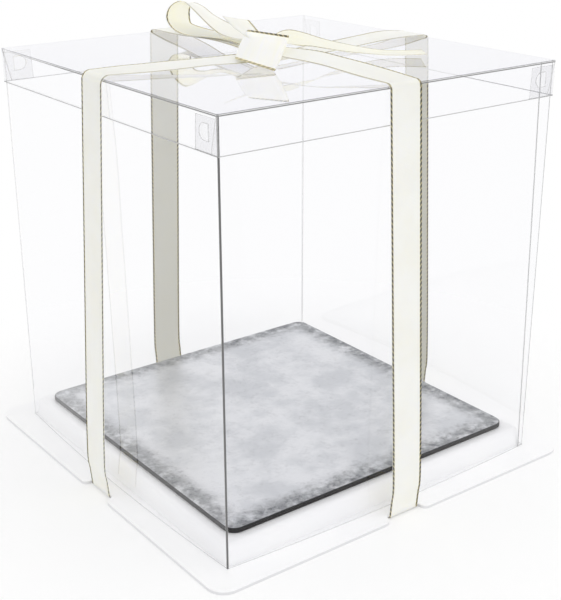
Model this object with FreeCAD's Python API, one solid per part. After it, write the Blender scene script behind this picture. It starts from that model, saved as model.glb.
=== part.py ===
"""A tall clear cake carrier: a formed tray, a loose board, a folded sleeve, a folded lid with
locked corner tabs, and a ribbon wrapped crosswise and tied in a half bow.

Millimetres, +Z up. The origin is at the middle of the tray, on the surface that it stands on.
The four walls face -X, -Y, +X and +Y. What repeats on them is made once, on the -Y wall, and turned.
"""
import FreeCAD
import Part
import math
import os
from FreeCAD import Vector

# Clearances between pieces
seat_gap = 0.1        # under a piece that rests on a flat face
slip = 0.3            # between sheets that slide on each other
overrun = 2.0         # how far a cutting tool reaches past what it cuts

# Loose board on the tray's deck: the size that the carrier is made for
board_side = 254.0
board_thickness = 4.0
board_corner_radius = 9.0
board_edge_bevel = 0.6

# Tray, formed from one white sheet
flange_reach = 19.5       # how far the tray stands out beyond the lid
tray_corner_radius = 13.0
tray_sheet = 0.9
rim_height = 1.8          # turned-down edge, below the flange
plug_height = 15.0        # from the flange's top to the deck
plug_draft = 1.2          # how much each side of the plug leans in
plug_edge_radius = 4.0    # soft edge round the deck and up the plug's corners
notch_width = 30.0
notch_depth = 6.0
notch_mouth_radius = 5.0

# Clear sheet of the sleeve and the lid
sheet = 0.35
fold_radius = 0.8
board_margin = 11.5       # from the board's edge to the lid's outer face
lid_height = 294.0        # from the flange's top to the lid's top
sleeve_bow = 4.5          # how far each wall of the sleeve bellies out at its foot
straight_top_share = 0.15  # upper share of the sleeve that stays straight inside the lid
glue_flap_top = 12.0      # width of the inner glue flap at the sleeve's top
glue_flap_foot = 5.0      # and at its foot

# Flaps and corner locks of the lid
flap_height = 24.5
tab_gap = 0.1             # between a flap and the tab behind it
tab_width = 23.5
tab_slant = 1.2           # the tab is this much narrower at its top
tab_drop = 3.4            # from the lid's top to the tab's top
kerf = 0.4                # width of the cut round a lock and beside a fold
lock_setback = 9.0        # from the corner to the straight side of the D
lock_width = 9.5
lock_height = 10.0

# Ribbon
ribbon_width = 26.0
ribbon_thickness = 0.4
under_gap = 0.1           # between the two stretches that cross below the tray
gathered_width = 14.0     # of a stretch where the knot pinches it
knot_x = -28.0
knot_y = -32.0
knot_turn = -36.9         # degrees, the way that the knot's broad face looks
knot_width = 36.0
knot_depth = 20.0
knot_height = 24.0
knot_outline_shares = ((-0.57, 0.17), (0.2, 0.0), (0.46, 0.8), (-0.24, 1.0))  # of width, height
knot_turn_radius = 8.5    # where the band turns back behind
knot_reach = 4.0          # from the knot's middle to where a top stretch ends inside it
top_rises = (9.5, 5.5, 3.5, 6.5)  # heights above the lid where the top stretches reach the knot
loop_length = 125.0       # from the knot's middle to the far end of the loop
loop_turn = 84.0          # degrees from +X, the way that the loop lies
loop_skew = 4.0           # the loop is this much longer at its right edge and shorter at its left
loop_end_radius = 12.0
loop_lift = 6.2           # height of the loop's low side above the lid
loop_waist = 50.0         # from the knot's middle to where the loop's two strands part
loop_strand_low = 9.5     # heights of the two strands from the knot to the waist
loop_strand_high = 13.5
tail_length = 112.0       # from the knot's middle to the cut end
tail_turn = -25.0
tail_rises = (18.5, 10.5, 6.0, 3.4)  # heights above the lid from the knot to the cut end
tail_leans = (45.0, 19.0, 5.0, 0.0)  # degrees, how far its left edge is turned up there
tail_station_shares = (0.1, 0.375, 0.6, 1.0)
short_tail_length = 30.0
short_tail_turn = 98.0
short_tail_rises = (19.5, 27.5)
short_tail_lean = 12.0
short_tail_width = 20.0   # its folded end is narrower than the flat ribbon

# Places that follow from the sizes above
lid_half = board_side / 2 + board_margin
tray_half = lid_half + flange_reach
flange_top = rim_height + tray_sheet
deck_top = flange_top + plug_height
lid_top = flange_top + lid_height
flap_bottom = lid_top - flap_height
tab_outer = lid_half - sheet - tab_gap
tab_inner = tab_outer - sheet
sleeve_half = tab_inner - slip
sleeve_foot = flange_top + seat_gap
sleeve_top = lid_top - sheet - seat_gap
glue_inner = sleeve_half - 2 * sheet
plug_half = glue_inner - slip
ribbon_floor = lid_top + slip
ribbon_bend = fold_radius + slip
knot_floor = ribbon_floor + ribbon_thickness + under_gap
notch_half = notch_width / 2
notch_floor = tray_half - notch_depth
side_foot = rim_height - slip - ribbon_thickness

up = Vector(0, 0, 1)
origin = Vector(0, 0, 0)
quarter_turns = (0, 90, 180, 270)
wall_names = ("front_right", "rear_right", "rear_left", "front_left")


def turned(shape, degrees):
    """A copy of the shape, turned about the upright axis of the carrier."""
    copy = shape.copy()
    copy.rotate(origin, up, degrees)
    return copy


def closed_face(edges):
    return Part.Face(Part.Wire(Part.__sortEdges__(edges)))


def polygon_face(points):
    return Part.Face(Part.makePolygon(points + points[:1]))


def line(a, b):
    return Part.LineSegment(a, b).toShape()


def arc(a, middle, b):
    return Part.Arc(a, middle, b).toShape()


def corner_arc(centre_x, centre_y, radius, z):
    """The quarter circle round the (+X, -Y) corner."""
    diagonal = radius * math.sqrt(0.5)
    return arc(
        Vector(centre_x, centre_y - radius, z),
        Vector(centre_x + diagonal, centre_y - diagonal, z),
        Vector(centre_x + radius, centre_y, z),
    )


def square_wire(half, radius, z, bow=0.0):
    """A square with round corners whose sides may belly out."""
    a, b = Vector(radius - half, -half, z), Vector(half - radius, -half, z)
    side = arc(a, Vector(0, -half - bow, z), b) if bow else line(a, b)
    corner = corner_arc(half - radius, radius - half, radius, z)
    edges = [turned(edge, degrees) for degrees in quarter_turns for edge in (side, corner)]
    return Part.Wire(edges)


def square_loft(sections):
    """A solid between squares, each given as its half side, corner radius, height and bow."""
    return Part.makeLoft([square_wire(*section) for section in sections], True, True)


def top_edges(shape, height):
    return [edge for edge in shape.Edges if all(abs(v.Z - height) < seat_gap / 2 for v in edge.Vertexes)]


def flange_outline(inset):
    """The tray's outline with its four notches, moved inward by the inset."""
    half = tray_half - inset
    radius = tray_corner_radius - inset
    mouth = notch_mouth_radius - inset
    notch = notch_half + inset
    floor = notch_depth - half
    bend = mouth * math.sqrt(0.5)
    edges = []
    for side in (-1, 1):
        centre_x = side * (notch + mouth)
        edges.append(line(Vector(side * (half - radius), -half, 0), Vector(centre_x, -half, 0)))
        edges.append(
            arc(
                Vector(centre_x, -half, 0),
                Vector(centre_x - side * bend, mouth - half - bend, 0),
                Vector(centre_x - side * mouth, mouth - half, 0),
            )
        )
        edges.append(line(Vector(side * notch, mouth - half, 0), Vector(side * notch, floor, 0)))
    edges.append(line(Vector(-notch, floor, 0), Vector(notch, floor, 0)))
    edges.append(corner_arc(half - radius, radius - half, radius, 0))
    return [turned(edge, degrees) for degrees in quarter_turns for edge in edges]


def plug_solid(inset, bottom):
    """The plug's block, moved inward by the inset, from a height up to the deck."""
    top = deck_top - inset
    half = plug_half - inset
    small = half - plug_draft
    wedge = Part.makeWedge(-half, flange_top, -half, -small, -small, half, top, half, small, small)
    block = Part.Solid(wedge.Shells[0])
    block.rotate(origin, Vector(1, 0, 0), 90)
    low = top_edges(block, flange_top)
    rounded = [edge for edge in block.Edges if not any(edge.isSame(other) for other in low)]
    block = block.makeFillet(plug_edge_radius - inset, rounded)
    if bottom < flange_top:
        foot = min(block.Faces, key=lambda face: face.CenterOfMass.z)
        block = block.fuse(foot.extrude(up * (bottom - flange_top)))
    return block


def base_tray():
    flange = closed_face(flange_outline(0.0)).extrude(up * tray_sheet)
    flange.translate(up * rim_height)
    rim = closed_face(flange_outline(0.0)).cut(closed_face(flange_outline(tray_sheet)))
    rim = rim.extrude(up * rim_height)
    passage = Part.makeBox(
        notch_width, tray_sheet + overrun, rim_height, Vector(-notch_half, -notch_floor - overrun / 2, 0)
    )
    for degrees in quarter_turns:
        rim = rim.cut(turned(passage, degrees))
    tray = flange.fuse([rim, plug_solid(0.0, flange_top)])
    return tray.cut(plug_solid(tray_sheet, rim_height)).removeSplitter()


def cake_board():
    foot = deck_top + seat_gap
    board = Part.Face(square_wire(board_side / 2, board_corner_radius, foot))
    board = board.extrude(up * board_thickness)
    ends = top_edges(board, foot) + top_edges(board, foot + board_thickness)
    return board.makeChamfer(board_edge_bevel, ends)


def sleeve_block(inset):
    """The sleeve's outer block, moved inward by the inset: bellied below and straight above."""
    half = sleeve_half - inset
    radius = fold_radius - inset if inset < fold_radius else fold_radius
    shoulder = sleeve_top - straight_top_share * (sleeve_top - sleeve_foot)
    return square_loft(
        [
            (half, radius, sleeve_foot, sleeve_bow),
            (half, radius, shoulder, 0.0),
            (half, radius, sleeve_top, 0.0),
        ]
    )


def sleeve():
    """Four walls folded from one sheet, with the glue flap inside the front right corner."""
    walls = sleeve_block(0.0).cut(sleeve_block(sheet))
    front = -sleeve_half - sleeve_bow - overrun
    glue_region = polygon_face(
        [
            Vector(sleeve_half - glue_flap_foot, front, sleeve_foot),
            Vector(sleeve_half, front, sleeve_foot),
            Vector(sleeve_half, front, sleeve_top),
            Vector(sleeve_half - glue_flap_top, front, sleeve_top),
        ]
    ).extrude(Vector(0, -glue_inner - front, 0))
    glue_flap = sleeve_block(sheet).cut(sleeve_block(2 * sheet)).common(glue_region)
    return walls.fuse(glue_flap).removeSplitter()


def lid_block(inset):
    """The lid's outer block with its folds rounded, moved inward by the inset."""
    half = lid_half - inset
    bottom = flap_bottom - (overrun if inset else 0.0)
    top = lid_top - inset
    block = Part.makeBox(2 * half, 2 * half, top - bottom, Vector(-half, -half, bottom))
    low = top_edges(block, bottom)
    folds = [edge for edge in block.Edges if not any(edge.isSame(other) for other in low)]
    return block.makeFillet(fold_radius - inset, folds)


def lock_outline(grow, y):
    """The D of a lock on the -Y wall at the right corner, with its straight side to the corner."""
    middle = (flap_bottom + lid_top) / 2
    radius = lock_height / 2 + grow
    straight = lid_half - lock_setback + grow
    round_x = lid_half - lock_setback - lock_width + lock_height / 2
    low, high = middle - radius, middle + radius
    return closed_face(
        [
            line(Vector(straight, y, low), Vector(straight, y, high)),
            line(Vector(straight, y, high), Vector(round_x, y, high)),
            arc(Vector(round_x, y, high), Vector(round_x - radius, y, middle), Vector(round_x, y, low)),
            line(Vector(round_x, y, low), Vector(straight, y, low)),
        ]
    )


def corner_lock():
    """The tab behind the -Y flap at the right corner, with its tongue, and what it cuts from the flap."""
    tab_top = lid_top - tab_drop
    tab = polygon_face(
        [
            Vector(lid_half - tab_width, -tab_outer, flap_bottom),
            Vector(lid_half - sheet, -tab_outer, flap_bottom),
            Vector(lid_half - sheet, -tab_outer, tab_top),
            Vector(lid_half - tab_width + tab_slant, -tab_outer, tab_top),
        ]
    ).extrude(Vector(0, sheet, 0))
    tongue = lock_outline(0.0, -lid_half).extrude(Vector(0, sheet + tab_gap, 0))
    window = lock_outline(kerf, -lid_half - overrun).extrude(Vector(0, overrun + sheet, 0))
    slit = Part.makeBox(
        kerf,
        overrun + sheet,
        tab_top - flap_bottom + overrun,
        Vector(lid_half - fold_radius - kerf, -lid_half - overrun, flap_bottom - overrun),
    )
    return tab.fuse(tongue), [window, slit]


def lid():
    """A top and four flaps folded from one sheet, with a locked tab round each corner."""
    shell = lid_block(0.0).cut(lid_block(sheet))
    tab, openings = corner_lock()
    for degrees in quarter_turns:
        shell = shell.cut([turned(opening, degrees) for opening in openings])
    return shell.fuse([turned(tab, degrees) for degrees in quarter_turns]).removeSplitter()


def side_stretch():
    """The stretch that turns over the lid's -Y edge and runs down to the notch below it."""
    across = Vector(ribbon_width, 0, 0)
    out = Vector(0, -ribbon_thickness, 0)
    start = Vector(-ribbon_width / 2, -lid_half - slip, ribbon_floor - ribbon_bend)
    foot = Vector(-ribbon_width / 2, -notch_floor - slip, side_foot)
    centre = start + Vector(0, ribbon_bend, 0)

    def rim_point(radius, degrees):
        angle = math.radians(degrees)
        return centre + Vector(0, -radius * math.cos(angle), radius * math.sin(angle))

    outer = ribbon_bend + ribbon_thickness
    bend = closed_face(
        [
            arc(rim_point(ribbon_bend, 90), rim_point(ribbon_bend, 45), start),
            line(start, start + out),
            arc(start + out, rim_point(outer, 45), rim_point(outer, 90)),
            line(rim_point(outer, 90), rim_point(ribbon_bend, 90)),
        ]
    )
    panel = polygon_face([start, foot, foot + out, start + out])
    return panel.extrude(across).fuse(bend.extrude(across)).removeSplitter()


def top_stretch(edge_turn, rise, knot):
    """The stretch from the bend over one of the lid's edges up to the knot.

    It is made on the -Y side, for a lid turned so that its edge faces there, and turned back.
    """
    middle = FreeCAD.Rotation(up, -edge_turn).multVec(Vector(knot_x, knot_y, 0))
    edge_y = -(lid_half + slip - ribbon_bend)
    towards = Vector(middle.x, middle.y - edge_y, 0)
    reach = towards * ((towards.Length - knot_reach) / towards.Length)
    half, pinched = Vector(ribbon_width / 2, 0, 0), Vector(gathered_width / 2, 0, 0)
    start = Vector(0, edge_y, ribbon_floor)
    end = Vector(reach.x, edge_y + reach.y, lid_top + rise)
    run = polygon_face([start - half, start + half, end + pinched, end - pinched])
    run = run.extrude(up * ribbon_thickness)
    return turned(run, edge_turn).cut(knot)


def under_stretch(degrees, foot):
    """A stretch below the tray from one notch to the opposite one."""
    strip = Part.makeBox(
        ribbon_width,
        2 * notch_floor,
        ribbon_thickness,
        Vector(-ribbon_width / 2, -notch_floor, foot),
    )
    return turned(strip, degrees)


def at_knot(shape, degrees):
    """Turns a shape made along +X about the origin and moves it to the knot, on the lid."""
    placed = turned(shape, degrees)
    placed.translate(Vector(knot_x, knot_y, lid_top))
    return placed


def ribbon_knot():
    """The band of ribbon round the bundle: open at its two edges, and rounded where it turns back."""
    corners = [
        Vector(across * knot_width, -knot_depth / 2, knot_floor - lid_top + rise * knot_height)
        for across, rise in knot_outline_shares
    ]
    pillow = polygon_face(corners).extrude(Vector(0, knot_depth, 0))
    tall = knot_height / 2
    turns = [edge for edge in pillow.Edges if abs(edge.Vertexes[0].Z - edge.Vertexes[1].Z) > tall]
    return at_knot(pillow.makeFillet(knot_turn_radius, turns), knot_turn)


def tangent_point(point, centre, radius, side):
    """Where the line from a point touches a circle in the XZ plane; side is 1 above and -1 below."""
    away = point - centre
    distance = away.Length
    towards = math.atan2(away.z, away.x)
    swing = math.acos(radius / distance)
    angle = towards - side * swing
    return centre + Vector(radius * math.cos(angle), 0, radius * math.sin(angle))


def loop_outline(inset, side):
    """The outline of one edge of the loop's band, moved inward; side is 1 at the left edge."""
    length = loop_length - side * loop_skew
    centre = Vector(length - loop_end_radius, 0, loop_lift + loop_end_radius)
    radius = loop_end_radius - inset
    low, high = loop_strand_low + inset, loop_strand_high - inset
    low_waist, high_waist = Vector(loop_waist, 0, low), Vector(loop_waist, 0, high)
    low_touch = tangent_point(low_waist, centre, radius, -1)
    high_touch = tangent_point(high_waist, centre, radius, 1)
    outline = Part.Wire(
        [
            line(Vector(0, 0, high), Vector(0, 0, low)),
            line(Vector(0, 0, low), low_waist),
            line(low_waist, low_touch),
            arc(low_touch, centre + Vector(radius, 0, 0), high_touch),
            line(high_touch, high_waist),
            line(high_waist, Vector(0, 0, high)),
        ]
    )
    spread = math.degrees(math.asin((ribbon_width - gathered_width) / 2 / length))
    outline.rotate(origin, up, side * spread)
    outline.translate(Vector(0, side * gathered_width / 2, 0))
    return outline


def bow_loop(knot):
    """The band's outer block between its two edges, less its inner one."""
    outer, inner = (
        Part.makeLoft([loop_outline(inset, -1), loop_outline(inset, 1)], True, True)
        for inset in (0.0, ribbon_thickness)
    )
    return at_knot(outer.cut(inner), loop_turn).cut(knot)


def strip(stations, degrees, knot):
    """A loose stretch of ribbon that leaves the knot, through sections that may lean and widen.

    Each station gives a distance from the knot's middle, a height above the lid, a width, and how
    many degrees the section's left edge is turned up.
    """
    sections = []
    for distance, rise, width, lean in stations:
        angle = math.radians(lean)
        across = Vector(0, math.cos(angle), math.sin(angle)) * (width / 2)
        through = Vector(0, -math.sin(angle), math.cos(angle)) * (ribbon_thickness / 2)
        middle = Vector(distance, 0, rise)
        corners = [
            middle - across - through,
            middle + across - through,
            middle + across + through,
            middle - across + through,
        ]
        sections.append(Part.makePolygon(corners + corners[:1]))
    return at_knot(Part.makeLoft(sections, True, True), degrees).cut(knot)


def long_tail(knot):
    """The tail that turns from upright at the knot to flat at its cut end."""
    stations = [
        (share * tail_length, rise, gathered_width + share * (ribbon_width - gathered_width), lean)
        for share, rise, lean in zip(tail_station_shares, tail_rises, tail_leans)
    ]
    return strip(stations, tail_turn, knot)


def short_tail(knot):
    low, high = short_tail_rises
    stations = [
        (0.0, low, gathered_width, short_tail_lean),
        (short_tail_length, high, short_tail_width, short_tail_lean),
    ]
    return strip(stations, short_tail_turn, knot)


def solid_of(shape):
    """The single solid of a shape; where a cut leaves crumbs, the largest piece."""
    return max(shape.Solids, key=lambda piece: piece.Volume)


def main():
    knot = ribbon_knot()
    nodes = {
        "base_tray": base_tray(),
        "cake_board": cake_board(),
        "sleeve": sleeve(),
        "lid": lid(),
        "ribbon_knot": knot,
        "bow_loop": bow_loop(knot),
        "tail_long": long_tail(knot),
        "tail_short": short_tail(knot),
        "ribbon_under_across": under_stretch(90, side_foot),
        "ribbon_under_along": under_stretch(0, side_foot - ribbon_thickness - under_gap),
    }
    for name, degrees, rise in zip(wall_names, quarter_turns, top_rises):
        nodes["ribbon_top_" + name] = top_stretch(degrees, rise, knot)
        nodes["ribbon_side_" + name] = turned(side_stretch(), degrees)
    os.makedirs("parts", exist_ok=True)
    for name, shape in nodes.items():
        solid_of(shape).exportStep("parts/" + name + ".step")


main()
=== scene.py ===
"""The looks of a clear cake carrier tied with a ribbon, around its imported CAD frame.

The ribbon is built here as folded bands. The tray, the board, the sleeve and the lid keep their
CAD meshes and get materials. Lengths are in millimetres and become metres through mm, apart from
those of the floor, the lamps and the shaders, which are in metres.
"""
import math

import bpy
from mathutils import Matrix, Vector

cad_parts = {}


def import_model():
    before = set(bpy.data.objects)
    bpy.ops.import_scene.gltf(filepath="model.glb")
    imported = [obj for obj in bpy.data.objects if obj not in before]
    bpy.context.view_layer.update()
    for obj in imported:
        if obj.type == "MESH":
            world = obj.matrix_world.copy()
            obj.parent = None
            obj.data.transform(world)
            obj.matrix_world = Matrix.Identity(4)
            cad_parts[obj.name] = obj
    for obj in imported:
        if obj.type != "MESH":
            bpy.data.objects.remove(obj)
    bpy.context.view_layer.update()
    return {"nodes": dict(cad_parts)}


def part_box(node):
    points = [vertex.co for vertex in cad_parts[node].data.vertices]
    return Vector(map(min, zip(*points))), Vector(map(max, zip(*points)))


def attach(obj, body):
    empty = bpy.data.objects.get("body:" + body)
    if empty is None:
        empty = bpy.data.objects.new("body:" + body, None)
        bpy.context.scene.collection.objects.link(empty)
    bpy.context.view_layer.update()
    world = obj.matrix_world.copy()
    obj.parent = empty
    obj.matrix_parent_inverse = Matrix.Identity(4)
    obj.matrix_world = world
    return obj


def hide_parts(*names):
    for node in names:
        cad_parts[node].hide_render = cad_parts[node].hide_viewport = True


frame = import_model()

mm = 0.001

# The carrier's sizes, as its frame has them
lid_low, lid_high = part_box("lid")
lid_half = lid_high.x / mm
lid_top = lid_high.z / mm
flap_bottom = lid_low.z / mm
sleeve_low, sleeve_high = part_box("sleeve")
sleeve_foot, sleeve_top = sleeve_low.z / mm, sleeve_high.z / mm
board_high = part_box("cake_board")[1]
board_half, board_top = board_high.x / mm, board_high.z / mm
tray_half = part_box("base_tray")[1].x / mm
side_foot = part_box("ribbon_side_front_left")[0].z / mm
notch_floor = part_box("ribbon_under_along")[1].y / mm

# Sizes of the folded sheets that their boxes don't give
lid_to_sleeve = 1.1      # from the lid's outer face in to the sleeve's
tab_width = 23.5
tab_slant = 1.2          # the tab is this much narrower at its top
tab_drop = 3.4           # from the lid's top to the tab's top
lock_setback = 9.0       # from the lid's corner to the straight side of the D
lock_width = 9.5
lock_height = 10.0
flap_end_inset = 0.6     # from the lid's corner to a flap's end, at the lid's top
flap_end_slant = 0.24    # how far the end leans in for each millimetre below the top
glue_flap_foot = 5.0     # width of the glue flap at the sleeve's foot
glue_flap_top = 12.0     # and at its top
sleeve_half = lid_half - lid_to_sleeve

# The ribbon
ribbon_width = 26.0
ribbon_thickness = 0.34
rib_pitch = 0.9          # from one rib of the weave to the next
warp_pitch = 0.55
thread_pitch = 3.6       # along the edge, from one twist of the thread to the next


# Node graphs


class Value:
    """An output of a node tree that plain arithmetic can combine."""

    def __init__(self, tree, socket):
        self.tree, self.socket = tree, socket

    def op(self, name, *others):
        node = self.tree.nodes.new("ShaderNodeMath")
        node.operation = name
        for slot, value in zip(node.inputs, (self, *others)):
            if isinstance(value, Value):
                self.tree.links.new(value.socket, slot)
            else:
                slot.default_value = value
        return Value(self.tree, node.outputs[0])

    def __add__(self, other):
        return self.op("ADD", other)

    def __sub__(self, other):
        return self.op("SUBTRACT", other)

    def __mul__(self, other):
        return self.op("MULTIPLY", other)

    def __truediv__(self, other):
        return self.op("DIVIDE", other)

    def __rsub__(self, other):
        return self.op("MULTIPLY_ADD", -1.0, other)

    def __abs__(self):
        return self.op("ABSOLUTE")

    def least(self, other):
        return self.op("MINIMUM", other)

    def most(self, other):
        return self.op("MAXIMUM", other)

    def wave(self, pitch):
        """-1 to 1, as a wave of this length along the value."""
        return (self * (2 * math.pi / pitch)).op("SINE")

    def ramp(self, start, end):
        """0 up to start and 1 from end on, or the other way round if end is the smaller."""
        node = self.tree.nodes.new("ShaderNodeMapRange")
        node.interpolation_type = "SMOOTHSTEP"
        self.tree.links.new(self.socket, node.inputs["Value"])
        node.inputs["From Min"].default_value = min(start, end)
        node.inputs["From Max"].default_value = max(start, end)
        node.inputs["To Min"].default_value = 0.0 if start < end else 1.0
        node.inputs["To Max"].default_value = 1.0 if start < end else 0.0
        return Value(self.tree, node.outputs["Result"])

    def line(self, half_width, soft):
        """1 where the value is near 0, for a line drawn along a distance."""
        return abs(self).ramp(half_width + soft, max(half_width - soft, 0.0))


def seen_white(tree):
    """1 for the rays that show the background: from the camera, a mirror or clear stuff."""
    path = tree.nodes.new("ShaderNodeLightPath")
    names = ("Is Camera Ray", "Is Glossy Ray", "Is Transmission Ray")
    camera_ray, glossy_ray, clear_ray = (Value(tree, path.outputs[name]) for name in names)
    return camera_ray.most(glossy_ray).most(clear_ray)


class Look:
    """A material's node tree with short calls for the nodes used here."""

    def __init__(self, name):
        self.material = bpy.data.materials.new(name)
        self.material.use_nodes = True
        self.tree = self.material.node_tree
        self.tree.nodes.clear()
        self.output = self.tree.nodes.new("ShaderNodeOutputMaterial")
        self.where = self.node("ShaderNodeTexCoord").outputs["Object"]

    def node(self, kind, **inputs):
        made = self.tree.nodes.new(kind)
        for name, value in inputs.items():
            self.feed(made.inputs[name.replace("_", " ")], value)
        return made

    def feed(self, socket, value):
        if isinstance(value, Value):
            self.tree.links.new(value.socket, socket)
        elif isinstance(value, bpy.types.NodeSocket):
            self.tree.links.new(value, socket)
        elif isinstance(value, bpy.types.Node):
            self.tree.links.new(value.outputs[0], socket)
        elif isinstance(value, tuple) and len(value) == 3 and socket.type == "RGBA":
            socket.default_value = (*value, 1.0)
        else:
            socket.default_value = value

    def value(self, node, output=0):
        return Value(self.tree, node.outputs[output])

    def parts(self, vector):
        """The x, y and z of a vector."""
        split = self.node("ShaderNodeSeparateXYZ", Vector=vector)
        return [self.value(split, axis) for axis in range(3)]

    def place(self):
        """The object's own coordinates, in mm."""
        return [part / mm for part in self.parts(self.where)]

    def noise(self, scale, detail=3.0, roughness=0.5, vector=None):
        """Cloudy noise from 0 to 1, over the object unless a vector is given."""
        made = self.node("ShaderNodeTexNoise", Scale=scale, Detail=detail, Roughness=roughness)
        self.feed(made.inputs["Vector"], vector or self.where)
        return self.value(made)

    def colour(self, share, first, second):
        made = self.tree.nodes.new("ShaderNodeMix")
        made.data_type = "RGBA"
        colours = [s for s in made.inputs if s.type == "RGBA"]
        self.feed(made.inputs[0], share)
        self.feed(colours[0], first)
        self.feed(colours[1], second)
        return next(s for s in made.outputs if s.type == "RGBA")

    def mix(self, share, first, second):
        made = self.tree.nodes.new("ShaderNodeMixShader")
        self.feed(made.inputs[0], share)
        self.feed(made.inputs[1], first)
        self.feed(made.inputs[2], second)
        return made

    def principled(self, height, strength, distance, **inputs):
        """The main shader, with a bump of this height on its surface."""
        bump = self.node("ShaderNodeBump", Strength=strength, Distance=distance, Height=height)
        return self.node("ShaderNodeBsdfPrincipled", Normal=bump, **inputs)

    def finish(self, shader):
        self.tree.links.new(shader.outputs[0], self.output.inputs["Surface"])
        return self.material


def grey(tone):
    """The linear colour of an 8-bit screen grey, or of an 8-bit screen colour."""
    tones = tone if isinstance(tone, tuple) else (tone, tone, tone)
    return tuple(
        (t / 255 / 12.92) if t <= 10 else ((t / 255 + 0.055) / 1.055) ** 2.4 for t in tones
    )


# The clear sheet of the sleeve and the lid

cut_line = (0.3, 0.25)       # half width of a drawn cut, and how soft its edges are
outer_skin = (0.32, 0.22)    # depths in which a wall's outer face ends, short of its inner one


def clear_sheet(name, lines, tints=None):
    """Thin clear sheet: it reflects more at a slant, its cut edges show as lines, and dark refraction is
    painted along its folded edges.

    tints takes the place and gives pairs of a mask and the colour that one face of the sheet lets
    through there. lines gives pairs of a mask and a grey, from the place and from how plainly a
    crease turns its outer side this way: painted shade at a crease seen from the side or from behind is
    hardly visible.
    """
    look = Look(name)
    place = look.place()
    tint = look.colour(look.noise(9.0, 2.0), grey((254.2, 254.2, 254.6)), grey((254.6, 254.6, 254.8)))
    for mask, shade in tints(place) if tints else ():
        tint = look.colour(mask, tint, shade)
    facing = look.value(look.node("ShaderNodeLayerWeight", Blend=0.5), "Facing")
    outside = 1.0 - look.value(look.node("ShaderNodeNewGeometry"), "Backfacing")
    reflected = outside * (facing.op("POWER", 3.5) * 1.2 + 0.004).least(1.0)
    (drawn, tone), *others = lines(place, outside * facing.ramp(0.66, 0.28))
    for mask, shade in others:
        tone = look.colour(mask, tone, shade)
        drawn = drawn.most(mask)
    gloss = look.node("ShaderNodeBsdfGlossy", Color=grey(255), Roughness=0.025)
    # the pen paints the drawn lines, among them the painted dark refraction along folded edges
    pen = look.node("ShaderNodeBsdfPrincipled", Base_Color=tone, Roughness=0.35)
    through = look.node("ShaderNodeBsdfTransparent", Color=tint)
    return look.finish(look.mix(reflected.most(drawn), through, look.mix(drawn, gloss, pen)))


def wall_place(place):
    """Distance along a wall, to the right seen from outside, and out from the middle."""
    x, y, _ = place
    wide = abs(y).op("GREATER_THAN", abs(x))
    along = wide * (x * y.op("SIGN") * -1.0) + (1.0 - wide) * (y * x.op("SIGN"))
    return along, abs(x).most(abs(y))


def tab_mask(place):
    """Where the tab behind a flap lies, a little inside the flap's own sheet."""
    along, out = wall_place(place)
    inside = lid_half - out
    behind = inside.op("GREATER_THAN", 0.4) * inside.op("LESS_THAN", 0.9)
    return behind * along.op("GREATER_THAN", lid_half - tab_width - 0.5)


def lock_line(along, z):
    """The D-shaped cut of a lock: a half circle towards the flap's middle, and a straight side."""
    radius = lock_height / 2
    x = along - (lid_half - lock_setback - lock_width + radius)
    up = z - (flap_bottom + lid_top) / 2
    round_part = (x.least(0.0).op("POWER", 2.0) + up * up).op("SQRT") - radius
    return round_part.most(x - (lock_width - radius)).line(*cut_line)


def lid_lines(place, plain):
    """The lid's hem, the outlines of its tabs and locks, its flaps' slanted ends, and painted dark
    refraction with a lighter core along its folded edges.
    """
    x, y, z = place
    along, out = wall_place(place)
    from_top = lid_top - z
    from_side = lid_half - out
    from_corner = lid_half - abs(x).least(abs(y))
    outer = from_side.ramp(*outer_skin)
    # painted dark refraction along the top's folded edges, faint where they are seen from the side or from
    # behind
    painted_fold_shade = from_top.ramp(1.95, 1.5) * outer * ((plain * 6.0).least(1.0) * 0.88 + 0.12)
    # a painted highlight: a lighter line along the middle of that dark line
    painted_fold_shade = painted_fold_shade * (1.0 - (from_top - 0.75).line(0.25, 0.2) * 0.45)
    # painted dark refraction along the lid's upright folded edges
    painted_corner_shade = from_corner.ramp(0.85, 0.5) * outer * (plain * 0.8 + 0.2)
    hem = (z - flap_bottom).ramp(0.65, 0.3)
    slant = tab_slant / (lid_top - tab_drop - flap_bottom)
    tab_left = along - (lid_half - tab_width) - (z - flap_bottom) * slant
    tab_top = z - lid_top + tab_drop
    tab_line = tab_left.line(*cut_line).most(tab_top.line(*cut_line)) * tab_mask(place)
    lock = lock_line(along, z) * from_side.ramp(0.9, 0.6) * from_top.ramp(1.0, 2.0)
    flap_end = along - lid_half + flap_end_inset + from_top * flap_end_slant
    flap_end = flap_end.line(0.5, 0.2) * outer
    return [
        (hem, grey(190)),
        (tab_line * 0.6, grey(190)),
        (lock * 0.6, grey(160)),
        (flap_end * 0.6, grey(140)),
        (painted_corner_shade * 0.8, grey(130)),
        (painted_fold_shade, grey(122)),
    ]


def lid_tints(place):
    """The lid's top is a little bluer, and so is the second sheet behind its flaps."""
    top = (place[2] - lid_top + 0.5).ramp(0.0, 0.05)
    return [(top, grey((245.8, 245.8, 249.2))), (tab_mask(place), grey((248, 248, 248.6)))]


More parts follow.
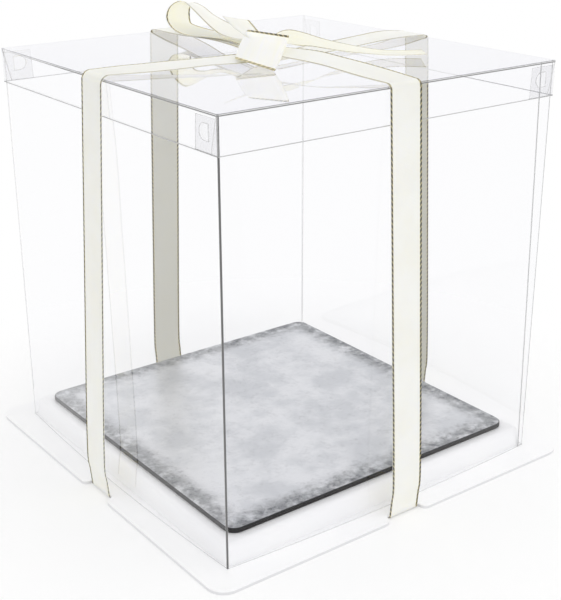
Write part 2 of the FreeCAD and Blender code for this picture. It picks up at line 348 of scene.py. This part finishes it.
def sleeve_lines(place, plain):
    """The sleeve's foot, the edge of the glue flap inside its front wall, and painted dark refraction
    along its folded edges.
    """
    x, y, z = place
    _, out = wall_place(place)
    painted_corner_shade = (sleeve_half - abs(x).least(abs(y))).ramp(1.2, 0.9)
    outer = (sleeve_half - out).ramp(0.32, 0.24)
    # painted dark refraction along the sleeve's upright folded edges, fainter where they are seen from the
    # side or from behind
    painted_fold_shade = painted_corner_shade * (outer * (plain * 0.6 + 0.35) + 0.15)
    foot = (z - sleeve_foot).ramp(0.8, 0.35)
    rise = (z - sleeve_foot) / (sleeve_top - sleeve_foot)
    flap_edge = x - sleeve_half + glue_flap_foot + rise * (glue_flap_top - glue_flap_foot)
    seam = flap_edge.line(0.32, 0.25) * y.op("LESS_THAN", -sleeve_half + 1.2)
    return [(foot * 0.45, grey(216)), (seam * 0.85, grey(112)), (painted_fold_shade, grey(104))]


# The tray and the board


def tray_look():
    """Formed white plastic with a slight ripple, with painted shade on the foot of its turned-down rim; a
    faint painted glow stands in for light that comes on through it.
    """
    look = Look("formed_white_sheet")
    x, y, z = look.place()
    fine = look.noise(420.0, 2.0)
    base = look.colour(look.noise(14.0).ramp(0.3, 0.7), grey((250, 250, 251)), grey((253, 253, 253)))
    out = abs(x).most(abs(y))
    # painted shade: the turned-down rim's outer side gets less light, so its foot is greyed
    rim_foot_shade = z.ramp(2.6, 1.6) * out.ramp(tray_half - 7.5, tray_half - 6.0)
    base = look.colour(rim_foot_shade * 0.6, base, grey((206, 206, 209)))
    shader = look.principled(
        look.noise(55.0, 2.0) * 0.7 + fine * 0.3,
        strength=0.12,
        distance=0.0006,
        Base_Color=base,
        Roughness=fine * 0.12 + 0.3,
        # a faint painted glow, standing in for light that comes on through the sheet
        Emission_Color=base,
        Emission_Strength=0.03,
    )
    return look.finish(shader)


def board_look():
    """Silver foil, mottled and with painted dark reflections towards its rim, on a dark core that shows at
    the edge.
    """
    look = Look("silver_board")
    x, y, z = look.place()
    cloud = look.noise(30.0, 5.0, 0.62)
    speck = look.noise(340.0, 3.0, 0.7)
    crease = look.noise(90.0, 5.0, 0.68)
    foil = look.colour(cloud.ramp(0.36, 0.66), grey((229, 230, 233)), grey((207, 209, 213)))
    # painted dark reflections of the crinkled foil: a darker mottle near the rim, and dark specks that are
    # most frequent there
    rim = abs(x).most(abs(y)).ramp(board_half - 22.0, board_half - 4.0)
    foil = look.colour(rim * crease.ramp(0.25, 0.6) * 0.8, foil, grey((112, 114, 118)))
    dark_speck_reflection = (speck.ramp(0.46, 0.66) * crease.ramp(0.42, 0.6)) * 0.7
    foil = look.colour(dark_speck_reflection * (rim * 0.8 + 0.2), foil, grey((84, 86, 90)))
    core = look.colour(look.noise(900.0, 2.0), grey((12, 11, 12)), grey((34, 33, 34)))
    side = (board_top - z).ramp(0.02, 0.2)
    shader = look.principled(
        crease * 0.6 + speck * 0.4,
        strength=0.25,
        distance=0.0004,
        Base_Color=look.colour(side, foil, core),
        Metallic=(1.0 - side) * 0.55,
        Roughness=side * 0.3 + crease * 0.2 + 0.24,
        Specular_IOR_Level=0.3,
    )
    return look.finish(shader)


# The ribbon's cloth


def ribbon_look(name, tones, sheer=0.6, glow=0.02, upright_shade=None, crease_shading=0.0):
    """Ribbed satin with gold thread and dark twisted stitches along both edges.

    tones are its colours in full light, in its clouds and in its ribs. sheer is how much of its
    white comes from the light that goes on through its cloth, and glow is a painted glow for what a
    gathered part gets that way from all round. dull is a painted shade on its upright parts, for
    the side away from the light. creases is how much painted soft shade from crease to crease it shows.
    Its UV map is in metres: across from the middle, and along.
    """
    look = Look(name)
    light, shade, warm = (grey(tone) for tone in tones)
    across, along = (part / mm for part in look.parts(look.node("ShaderNodeUVMap"))[:2])
    cloud = look.noise(28.0)
    rib = along.wave(rib_pitch) * 0.5 + 0.5
    warp = across.wave(warp_pitch) * 0.5 + 0.5
    base = look.colour(cloud.ramp(0.32, 0.68), light, shade)
    base = look.colour(rib * 0.22, base, warm)
    # painted soft shade in bands from crease to crease
    if crease_shading:
        stretched = look.node("ShaderNodeCombineXYZ", X=across * 0.02, Y=along * 0.15)
        crease_shade_bands = look.noise(1.0, 2.0, vector=stretched).ramp(0.3, 0.75)
        base = look.colour(crease_shade_bands * crease_shading, base, grey((240, 235, 214)))
    flat = abs(look.parts(look.node("ShaderNodeNewGeometry").outputs["Normal"])[2])
    # painted shade: the parts that stand upright are greyed, as on a side away from the light
    if upright_shade:
        base = look.colour(flat.ramp(0.75, 0.25), base, grey(upright_shade))
    edge = ribbon_width / 2 - abs(across)
    base = look.colour(edge.ramp(2.2, 1.1) * 0.5, base, grey((238, 222, 164)))
    twist = (along + abs(across) * 1.3).wave(thread_pitch).ramp(-0.85, -0.35)
    thread = edge.ramp(1.65, 1.3)
    # the stitches' gold and dark dashes are the thread's own, and they are painted stronger on upright
    # parts as shade
    upright = 1.0 - flat * 0.62
    base = look.colour(thread * (upright * 0.55 + 0.25), base, grey((186, 172, 116)))
    base = look.colour(thread * twist * upright, base, grey((20, 18, 10)))
    shader = look.principled(
        rib * 0.35 + warp * 0.25 + edge.ramp(1.4, 0.8) * (twist * 0.6 + 0.5),
        strength=0.3,
        distance=0.0003,
        Base_Color=base,
        Roughness=cloud * 0.14 + 0.42,
        Sheen_Weight=0.15,
        Sheen_Roughness=0.4,
        Anisotropic=0.35,
        Subsurface_Weight=(1.0 - thread) * sheer,
        Subsurface_Radius=(1.0, 0.9, 0.6),
        Subsurface_Scale=0.0022,
        # painted glow: the emission lifts the shaded parts of the cloth
        Emission_Color=base,
        Emission_Strength=glow,
    )
    return look.finish(shader)


# One ribbon in painted copies: the tones for its shaded sides are painted lighter to lift them, and the
# warm and cream tones paint the warm light that comes through the cloth in the loop and on the long tail
plain_tones = ((249, 248, 238), (245, 243, 230), (242, 238, 217))
lifted_shade_tones = ((252, 251, 242), (249, 247, 235), (246, 242, 222))
warm_through_light_tones = ((253, 251, 235), (251, 247, 226), (248, 243, 212))
tied_tones = ((253, 252, 244), (251, 249, 237), (248, 245, 226))
cream_through_light_tones = ((252, 249, 229), (249, 245, 219), (246, 240, 205))

ribbon_plain = ribbon_look("ribbon_satin", plain_tones)
ribbon_warm_light = ribbon_look("ribbon_satin_warm_light", warm_through_light_tones, sheer=1.0, glow=0.12)
ribbon_tied = ribbon_look("ribbon_satin_tied", tied_tones, sheer=0.8, glow=0.12, crease_shading=0.45)
ribbon_reverse = ribbon_look("ribbon_reverse", lifted_shade_tones, sheer=0.5, glow=0.16, upright_shade=(178, 179, 176))
ribbon_under = ribbon_look("ribbon_under", lifted_shade_tones, glow=0.16)
ribbon_cream_light = ribbon_look("ribbon_cream_light", cream_through_light_tones, glow=0.04)


# Curves


def at_share(values, share):
    """The value at a share of the way along a smooth curve through evenly spaced ones."""
    way = min(max(share, 0.0), 1.0) * (len(values) - 1)
    i = min(int(way), len(values) - 2)
    t = way - i
    b, c = values[i], values[i + 1]
    a = values[i - 1] if i else 2 * b - c
    d = values[i + 2] if i + 2 < len(values) else 2 * c - b
    squared = (2 * a - 5 * b + 4 * c - d) * t * t
    cubed = (3 * b - a - 3 * c + d) * t**3
    return 0.5 * (2 * b + (c - a) * t + squared + cubed)


def smooth_line(points, count):
    """Points spaced evenly along a smooth curve through the given ones."""
    steps = 24 * (len(points) - 1)
    dense = [at_share(points, i / steps) for i in range(steps + 1)]
    reach = [0.0]
    for a, b in zip(dense, dense[1:]):
        reach.append(reach[-1] + (b - a).length)
    made, j = [], 0
    for i in range(count):
        want = reach[-1] * i / (count - 1)
        while j + 2 < len(reach) and reach[j + 1] < want:
            j += 1
        span = reach[j + 1] - reach[j]
        made.append(dense[j].lerp(dense[j + 1], (want - reach[j]) / span if span else 0.0))
    return made


def smooth(t):
    """0 to 1 with soft ends."""
    t = min(max(t, 0.0), 1.0)
    return t * t * (3 - 2 * t)


def above(x, y, z):
    """A point at a height above the lid's top."""
    return Vector((x, y, lid_top + z))


def turned_z(degrees):
    """A turn about the vertical."""
    return Matrix.Rotation(math.radians(degrees), 3, "Z")


# Bands

band_columns = 13            # points across a band
pleat_waves = 3.5            # ripples across a band
edge_share = 0.7             # a cut edge has the cloth's colour from this share of the way out


def grid_normal(grid, i, c, closed):
    """The way that a band's first side looks at one of its points."""
    rows, last = len(grid), len(grid[0]) - 1
    before = grid[i - 1][c] if i or closed else grid[0][c]
    after = grid[(i + 1) % rows][c] if closed or i + 1 < rows else grid[i][c]
    across = grid[i][min(c + 1, last)] - grid[i][max(c - 1, 0)]
    return (after - before).cross(across).normalized()


def raised(grid, closed, crown, pleats):
    """The grid with its middle raised by the crown, and with its ripples."""
    made = []
    for i, row in enumerate(grid):
        ripple = pleats(i / (len(grid) - 1)) if pleats else 0.0
        made.append([])
        for c, point in enumerate(row):
            u = 2 * c / (band_columns - 1) - 1
            height = crown * (1 - u * u) + ripple * math.sin(u * math.pi * pleat_waves)
            made[-1].append(point + grid_normal(grid, i, c, closed) * height)
    return made


class Shell:
    """The two faces of a band and the cut edges between them, from its grid of middle points.

    A point's mark is its place on the UV map: across the ribbon from its middle, and along it.
    """

    def __init__(self, grid, closed, tucked):
        self.rows, self.closed, self.tucked = len(grid), closed, tucked
        self.vertices = [
            (point + grid_normal(grid, i, c, closed) * side * ribbon_thickness) * mm
            for side in (0.5, -0.5)
            for i, row in enumerate(grid)
            for c, point in enumerate(row)
        ]
        middle = band_columns // 2
        self.lengths = [0.0]
        for i in range(1, self.rows + closed):
            step = grid[i % self.rows][middle] - grid[i - 1][middle]
            self.lengths.append(self.lengths[-1] + step.length)
        self.polygons, self.slots, self.marks = [], [], []
        self.add_faces()

    def vertex(self, i, c, side):
        return (side * self.rows + i % self.rows) * band_columns + c

    def mark(self, i, c, share=1.0):
        across = self.tucked + (1 - self.tucked) * c / (band_columns - 1) - 0.5
        return (across * share * ribbon_width * mm, self.lengths[i] * mm)

    def add(self, corners, slot, marks, back):
        order = -1 if back else 1
        self.polygons.append(corners[::order])
        self.slots.append(slot)
        self.marks.extend(marks[::order])

    def add_edge(self, a, b, back):
        """The quad between the two faces, from one point of the outline to the next."""
        corners = [self.vertex(*a, 0), self.vertex(*b, 0), self.vertex(*b, 1), self.vertex(*a, 1)]
        mark_a, mark_b = self.mark(*a, edge_share), self.mark(*b, edge_share)
        self.add(corners, 0, [mark_a, mark_b, mark_b, mark_a], back)

    def add_faces(self):
        """Row by row the two broad sides with the long cut edges, and then the two ends."""
        last = band_columns - 1
        for i in range(self.rows if self.closed else self.rows - 1):
            for c in range(last):
                quad = [(i, c), (i, c + 1), (i + 1, c + 1), (i + 1, c)]
                for side in (0, 1):
                    corners = [self.vertex(*point, side) for point in quad]
                    self.add(corners, side, [self.mark(*point) for point in quad], side == 0)
            for c in (0, last):
                self.add_edge((i, c), (i + 1, c), c == last)
        if not self.closed:
            for i in (0, self.rows - 1):
                for c in range(last):
                    self.add_edge((i, c), (i, c + 1), i == 0)

    def mesh(self, name, faces):
        mesh = bpy.data.meshes.new(name)
        mesh.from_pydata(self.vertices, [], self.polygons)
        for loop, mark in zip(mesh.uv_layers.new(name="ribbon").data, self.marks):
            loop.uv = mark
        for material in faces:
            mesh.materials.append(material)
        for polygon, slot in zip(mesh.polygons, self.slots):
            polygon.material_index = slot
            polygon.use_smooth = True
        return mesh


def band(
    name,
    edges,
    replaced,
    body="ribbon_body",
    faces=(ribbon_plain, ribbon_plain),
    crown=0.0,
    pleats=None,
    closed=False,
    tucked=0.0,
):
    """A ribbon between two edges, given as equally many points in mm, with its own thickness.

    replaced are the CAD nodes that it stands for.
    faces are the materials of the side that its points' turn from left to right looks to, and of
    the other side. crown raises its middle. pleats takes the share along and gives the height of
    its ripples. tucked is the share of its width that is folded under at its left.
    """
    shares = [c / (band_columns - 1) for c in range(band_columns)]
    grid = [[left.lerp(right, share) for share in shares] for left, right in zip(*edges)]
    shell = Shell(raised(grid, closed, crown, pleats), closed, tucked)
    piece = bpy.data.objects.new(name, shell.mesh(name, faces))
    bpy.context.scene.collection.objects.link(piece)
    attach(piece, body)
    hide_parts(*replaced)


# The four stretches from the knot over the lid's edges and down to the tray

knot_centre = Vector((-30.0, -34.0, 0.0))
knot_share = 0.04            # of the way to the lid's edge, where a stretch starts inside the knot
arm_widths = (15, 17, 19, 21.5, 24, 26, 26)      # evenly spaced from the knot to the lid's edge
top_rows, bend_rows, fall_rows = 44, 10, 64      # on the lid, round its edge and down its side
kink_height = 30.0           # where a side stretch turns in to its notch
kink_out = 155.2             # and how far out from the middle it is there
foot_out = 0.5               # how far its foot stands off the notch's floor
mid_ribbon = 0.2             # from the solid ribbon's lower face to its middle
crossing_drop = 0.5          # how far the lower stretch under the tray is below the upper one
wall_turns = {"front_right": 0, "rear_right": 90, "rear_left": 180, "front_left": 270}
west = Vector((-1.0, 0.0, 0.0))


def arm_top(start, edge, heights, leans):
    """Middle, direction across and width of each row from the knot to the bend."""
    heading = (edge - start).normalized()
    aside = Vector((heading.y, -heading.x, 0.0))
    if aside.x > 0:
        aside = -aside
    for i in range(top_rows):
        share = i / top_rows
        height, width, lean = (at_share(values, share) for values in (heights, arm_widths, leans))
        flat = aside.lerp(west, smooth(share)).normalized()
        angle = math.radians(lean)
        middle = start.lerp(edge, knot_share + (1 - knot_share) * share)
        across = flat * math.cos(angle) + Vector((0, 0, math.sin(angle)))
        yield above(middle.x, middle.y, height), across, width


def arm_side(edge, bend_stand, bend_radius):
    """Middle of each row round the bend, and from there down to the notch."""
    centre_z = lid_top + bend_stand - bend_radius
    for i in range(bend_rows + 1):
        angle = math.radians(90 * (1 - i / bend_rows))
        yield Vector((0, edge.y - bend_radius * math.cos(angle), centre_z + bend_radius * math.sin(angle)))
    top = Vector((0, edge.y - bend_radius, centre_z))
    kink = Vector((0, -kink_out, kink_height))
    foot = Vector((0, -(notch_floor + foot_out), side_foot + mid_ribbon))
    upper = [top.lerp(kink, i / 7) for i in range(7)]
    lower = [kink.lerp(foot, share) for share in (0.12, 0.55)]
    yield from smooth_line(upper + lower + [foot], fall_rows)[1:]


def arm(wall, bend_radius, heights, leans):
    """The stretch from the knot over one of the lid's edges and down to the notch.

    Evenly spaced from the knot to the edge come its heights above the lid and how many degrees its
    edge to the left, seen from the notch, is turned up. The last height is also how far its bend
    stands off the lid's side. It is made on the -Y wall and turned to its own.
    """
    bend_stand = heights[-1]
    start = turned_z(-wall_turns[wall]) @ knot_centre
    edge = Vector((0.0, -(lid_half + bend_stand - bend_radius), 0.0))
    rows = list(arm_top(start, edge, heights, leans))
    rows += [(middle, west, ribbon_width) for middle in arm_side(edge, bend_stand, bend_radius)]
    back = turned_z(wall_turns[wall])
    lefts = [back @ (middle + across * width / 2) for middle, across, width in rows]
    rights = [back @ (middle - across * width / 2) for middle, across, width in rows]
    inner = ribbon_reverse if wall.startswith("rear") else ribbon_under
    band(
        "ribbon_arm_" + wall,
        (lefts, rights),
        ("ribbon_top_" + wall, "ribbon_side_" + wall),
        faces=(ribbon_plain, inner),
        pleats=lambda share: 0.3 * (1 - smooth(share / 0.1)),
    )


# The bow


def bow_loop():
    """The loop, from its lower strand at the knot round its far end and back above itself."""
    near = [
        (-31, -22, 9.0), (-28, 12, 10.4), (-27, 35.5, 9.2), (-27, 64, 7.1), (-27, 80, 8.4),
        (-27, 89, 12.5), (-27, 92, 18), (-27, 86, 25.7), (-27, 72, 30.8), (-27, 59, 27.8),
        (-27, 31, 15.6), (-28, 12, 12.6), (-31, -22, 14.0),
    ]
    far = [
        (-20, -24, 8.0), (-9, 12, 8.6), (-4, 45, 8.4), (-2, 76, 8.2), (-1, 97, 9.2),
        (-0.5, 101, 12), (0, 102, 14.5), (0, 101.5, 20), (-0.5, 96, 25.0), (-1.5, 80.6, 23.8),
        (-4, 58.5, 18.8), (-9, 12, 13.8), (-20, -24, 13.5),
    ]
    band(
        "ribbon_bow_loop",
        [smooth_line([above(*p) for p in points], count=120) for points in (far, near)],
        ("bow_loop",),
        faces=(ribbon_warm_light, ribbon_plain),
        pleats=lambda share: 0.5 * (1 - smooth(min(share, 1 - share) / 0.14)),
    )


def strip_of(points, widths, leans, rows):
    """The two edges of a strip along a centre line, from its widths and the turn of its left edge."""
    centre = smooth_line([above(*p) for p in points], rows)
    lefts, rights = [], []
    for i, point in enumerate(centre):
        ahead = centre[min(i + 1, rows - 1)] - centre[max(i - 1, 0)]
        width, lean = (at_share(values, i / (rows - 1)) for values in (widths, leans))
        side = Vector((-ahead.y, ahead.x, 0)).normalized()
        angle = math.radians(lean)
        across = side * math.cos(angle) + Vector((0, 0, math.sin(angle)))
        lefts.append(point + across * width / 2)
        rights.append(point - across * width / 2)
    return lefts, rights


def long_tail():
    """The tail that leaves the knot leaning, turns flat and ends in a slanted cut."""
    line = [
        (-23.5, -35.5, 15.0), (-12.7, -36.8, 16.6), (0.5, -40.2, 14.7), (13.5, -44.4, 11.0),
        (26.1, -49.4, 7.9), (38.4, -55.3, 5.5), (50.1, -62.3, 3.7), (61.4, -69.9, 3.3),
        (73.2, -78.3, 3.7),
    ]
    widths = (11, 17, 19, 21, 23, 25, 26, 26, 26)
    leans = (14, 30, 21, 12, 6.8, 1.4, -1.6, -2.4, -2.8)
    band(
        "ribbon_tail_long",
        strip_of(line, widths, leans, rows=64),
        ("tail_long",),
        faces=(ribbon_under, ribbon_cream_light),
        pleats=lambda share: 0.5 * (1 - smooth(share / 0.3)),
    )


def short_tail():
    """The short end that stands up behind the knot, with its left side folded under."""
    line = [(-31.2, -35.6, 15.5), (-32.5, -20.5, 20.5), (-31.3, -4.1, 27.2)]
    band(
        "ribbon_tail_short",
        strip_of(line, widths=(16, 21), leans=(12, 12), rows=24),
        ("tail_short",),
        pleats=lambda share: 0.6 * (1 - share),
        tucked=0.2,
    )


def rounded(points, passes):
    """A closed outline whose corners are cut back again and again until they are round."""
    for _ in range(passes):
        ends = zip(points, points[1:] + points[:1])
        points = [a.lerp(b, share) for a, b in ends for share in (0.25, 0.75)]
    return points


def knot():
    """The wrap: its flat broad face in front, and gathered narrower round the back.

    Its points are to the right, back and up in axes turned to the way that the face looks.
    """
    top = [
        (-14.4, -42.0, 22.5), (-11.2, -44.2, 22.4), (9.8, -58.8, 21.6), (13, -61, 21.5),
        (12.2, -57, 20.4), (8.5, -45, 16.5), (0.5, -33, 14.0), (-9, -28, 13.8),
        (-13.8, -32, 15.0), (-14.6, -38.5, 20.0),
    ]
    bottom = [
        (-22.7, -57.1, 6.4), (-19.5, -58.9, 5.7), (0.8, -70.0, 1.3), (3.8, -71.7, 0.7),
        (3.2, -67.5, 0.7), (1.0, -52, 1.0), (-4, -36, 2.2), (-11, -33, 3.2),
        (-15, -42, 4.6), (-20.3, -52.0, 5.9),
    ]
    spin = turned_z(-36.87)
    outlines = [[above(*(spin @ Vector(p))) for p in points] for points in (top, bottom)]
    band(
        "ribbon_knot_wrap",
        [rounded(outline, passes=3) for outline in outlines],
        ("ribbon_knot",),
        faces=(ribbon_tied, ribbon_tied),
        crown=-0.9,
        closed=True,
    )


def under_stretch(name, degrees, z):
    """A stretch below the tray from one notch to the opposite one."""
    spin = turned_z(degrees)
    rows, half = 60, ribbon_width / 2
    ys = [notch_floor * (2 * i / (rows - 1) - 1) for i in range(rows)]
    band(
        "ribbon_under_tray_" + name,
        [[spin @ Vector((x, y, z)) for y in ys] for x in (-half, half)],
        ("ribbon_under_" + name,),
        body="tray_body",
    )


arm("front_right", 4.2, (10.2, 10.2, 9.7, 8.1, 6.0, 3.7, 1.5), (-10.7, -11.9, -11.2, -6, -4.2, -2.2, 0))
arm("rear_right", 3.8, (3.7, 3.6, 3.5, 3.6, 3.9, 3.6, 1.4), (-8, -8, -7.5, -5, -3.4, -3.3, -1))
arm("rear_left", 5.0, (8.6, 8.8, 8.3, 6.7, 4.5, 3.2, 1.7), (0, 0, 0, 0, 0, 0, 0))
arm("front_left", 6.0, (5.7, 5.0, 4.5, 3.8, 3.1, 2.6, 2.0), (12, 9.8, 5.4, 5.0, 3.5, 1.9, 0))
bow_loop()
long_tail()
short_tail()
knot()
under_stretch("across", 90, side_foot + mid_ribbon)
under_stretch("along", 0, side_foot + mid_ribbon - crossing_drop)


def dress(node, material):
    """Gives a CAD node's mesh its material."""
    for slot in frame["nodes"][node].material_slots:
        slot.material = material


dress("lid", clear_sheet("clear_lid_sheet", lid_lines, lid_tints))
dress("sleeve", clear_sheet("clear_sleeve_sheet", sleeve_lines))
dress("base_tray", tray_look())
dress("cake_board", board_look())


# The camera, as fitted to the corners of the carrier in the photograph


def photograph_camera():
    """It looks past its target: the offset is how far right, down and ahead the target lies."""
    azimuth, elevation, roll = (math.radians(angle) for angle in (-36.930, 21.445, 0.149))
    target = Vector((0.0, 0.0, 141.2 * mm))
    lid_side = 277.0
    offset = Vector((-0.02559, -0.09918, 3.1675)) * lid_side * mm
    level = math.cos(elevation)
    forward = Vector((-math.sin(azimuth) * level, math.cos(azimuth) * level, -math.sin(elevation)))
    right = forward.cross(Vector((0, 0, 1))).normalized()
    down = forward.cross(right)
    rolled_right = right * math.cos(roll) + down * math.sin(roll)
    rolled_down = down * math.cos(roll) - right * math.sin(roll)
    axes = Matrix((rolled_right, rolled_down, forward))
    data = bpy.data.cameras.new("camera")
    data.sensor_width = 36.0
    data.lens = 70.506
    data.clip_start, data.clip_end = 0.05, 60.0
    camera = bpy.data.objects.new("camera", data)
    bpy.context.scene.collection.objects.link(camera)
    turn = Matrix((rolled_right, -rolled_down, -forward)).transposed().to_4x4()
    camera.matrix_world = Matrix.Translation(target - axes.transposed() @ offset) @ turn
    bpy.context.scene.camera = camera


# Floor, world and lamps

world_level = 0.88           # light from all round; the lamps add the rest
shadow_reach = (168.0, 350.0)    # the floor turns white between these distances from the middle
least_white = 0.4            # its share of plain white nearer than that


def floor_look():
    """It keeps the carrier's shadow, and turns plain white away from it."""
    look = Look("pale_floor")
    x, y, _ = look.place()
    away = (x * x + y * y).op("SQRT")
    white = look.node("ShaderNodeEmission", Color=grey(255), Strength=1.0)
    paint = look.node("ShaderNodeBsdfDiffuse", Color=grey(254.4), Roughness=0.0)
    share = seen_white(look.tree) * (away.ramp(*shadow_reach) * (1.0 - least_white) + least_white)
    return look.finish(look.mix(share, paint, white))


def floor():
    """A wide disc of rings that grow wider outwards."""
    size, rings, spokes = 7.0, 40, 96
    vertices, faces = [(0.0, 0.0, 0.0)], []
    for ring in range(1, rings + 1):
        radius = size * (ring / rings) ** 2
        for spoke in range(spokes):
            angle = 2 * math.pi * spoke / spokes
            vertices.append((radius * math.cos(angle), radius * math.sin(angle), 0.0))
    for spoke in range(spokes):
        faces.append((0, 1 + spoke, 1 + (spoke + 1) % spokes))
    for ring in range(rings - 1):
        for spoke in range(spokes):
            a = 1 + ring * spokes + spoke
            b = 1 + ring * spokes + (spoke + 1) % spokes
            faces.append((a, a + spokes, b + spokes, b))
    mesh = bpy.data.meshes.new("floor")
    mesh.from_pydata(vertices, [], faces)
    mesh.materials.append(floor_look())
    made = bpy.data.objects.new("floor", mesh)
    bpy.context.scene.collection.objects.link(made)


def world():
    """Even light from all round, and plain white where it is seen."""
    made = bpy.data.worlds.new("studio")
    bpy.context.scene.world = made
    made.use_nodes = True
    tree = made.node_tree
    tree.nodes.clear()
    strength = seen_white(tree) * (1.0 - world_level) + world_level
    background = tree.nodes.new("ShaderNodeBackground")
    background.inputs["Color"].default_value = (1.0, 1.0, 1.0, 1.0)
    tree.links.new(strength.socket, background.inputs["Strength"])
    output = tree.nodes.new("ShaderNodeOutputWorld")
    tree.links.new(background.outputs[0], output.inputs["Surface"])


def lamp(name, towards, distance, size, level):
    """A square soft lamp; level is what it adds to a white surface that faces it."""
    data = bpy.data.lights.new(name, "AREA")
    data.shape, data.size = "SQUARE", size
    data.energy = level * math.pi**2 * distance**2
    made = bpy.data.objects.new(name, data)
    bpy.context.scene.collection.objects.link(made)
    direction = Vector(towards).normalized()
    made.location = Vector((0, 0, 0.15)) + direction * distance
    made.rotation_mode = "QUATERNION"
    made.rotation_quaternion = direction.to_track_quat("Z", "Y")


photograph_camera()
floor()
world()
lamp("key_lamp", (0.06, -0.2, 0.5), distance=2.4, size=1.4, level=0.1)
lamp("fill_lamp", (-0.16, -0.75, 0.4), distance=2.6, size=1.6, level=0.06)

scene = bpy.context.scene
scene.view_settings.view_transform = "Standard"
scene.cycles.transparent_max_bounces = 48
scene.cycles.max_bounces = 10
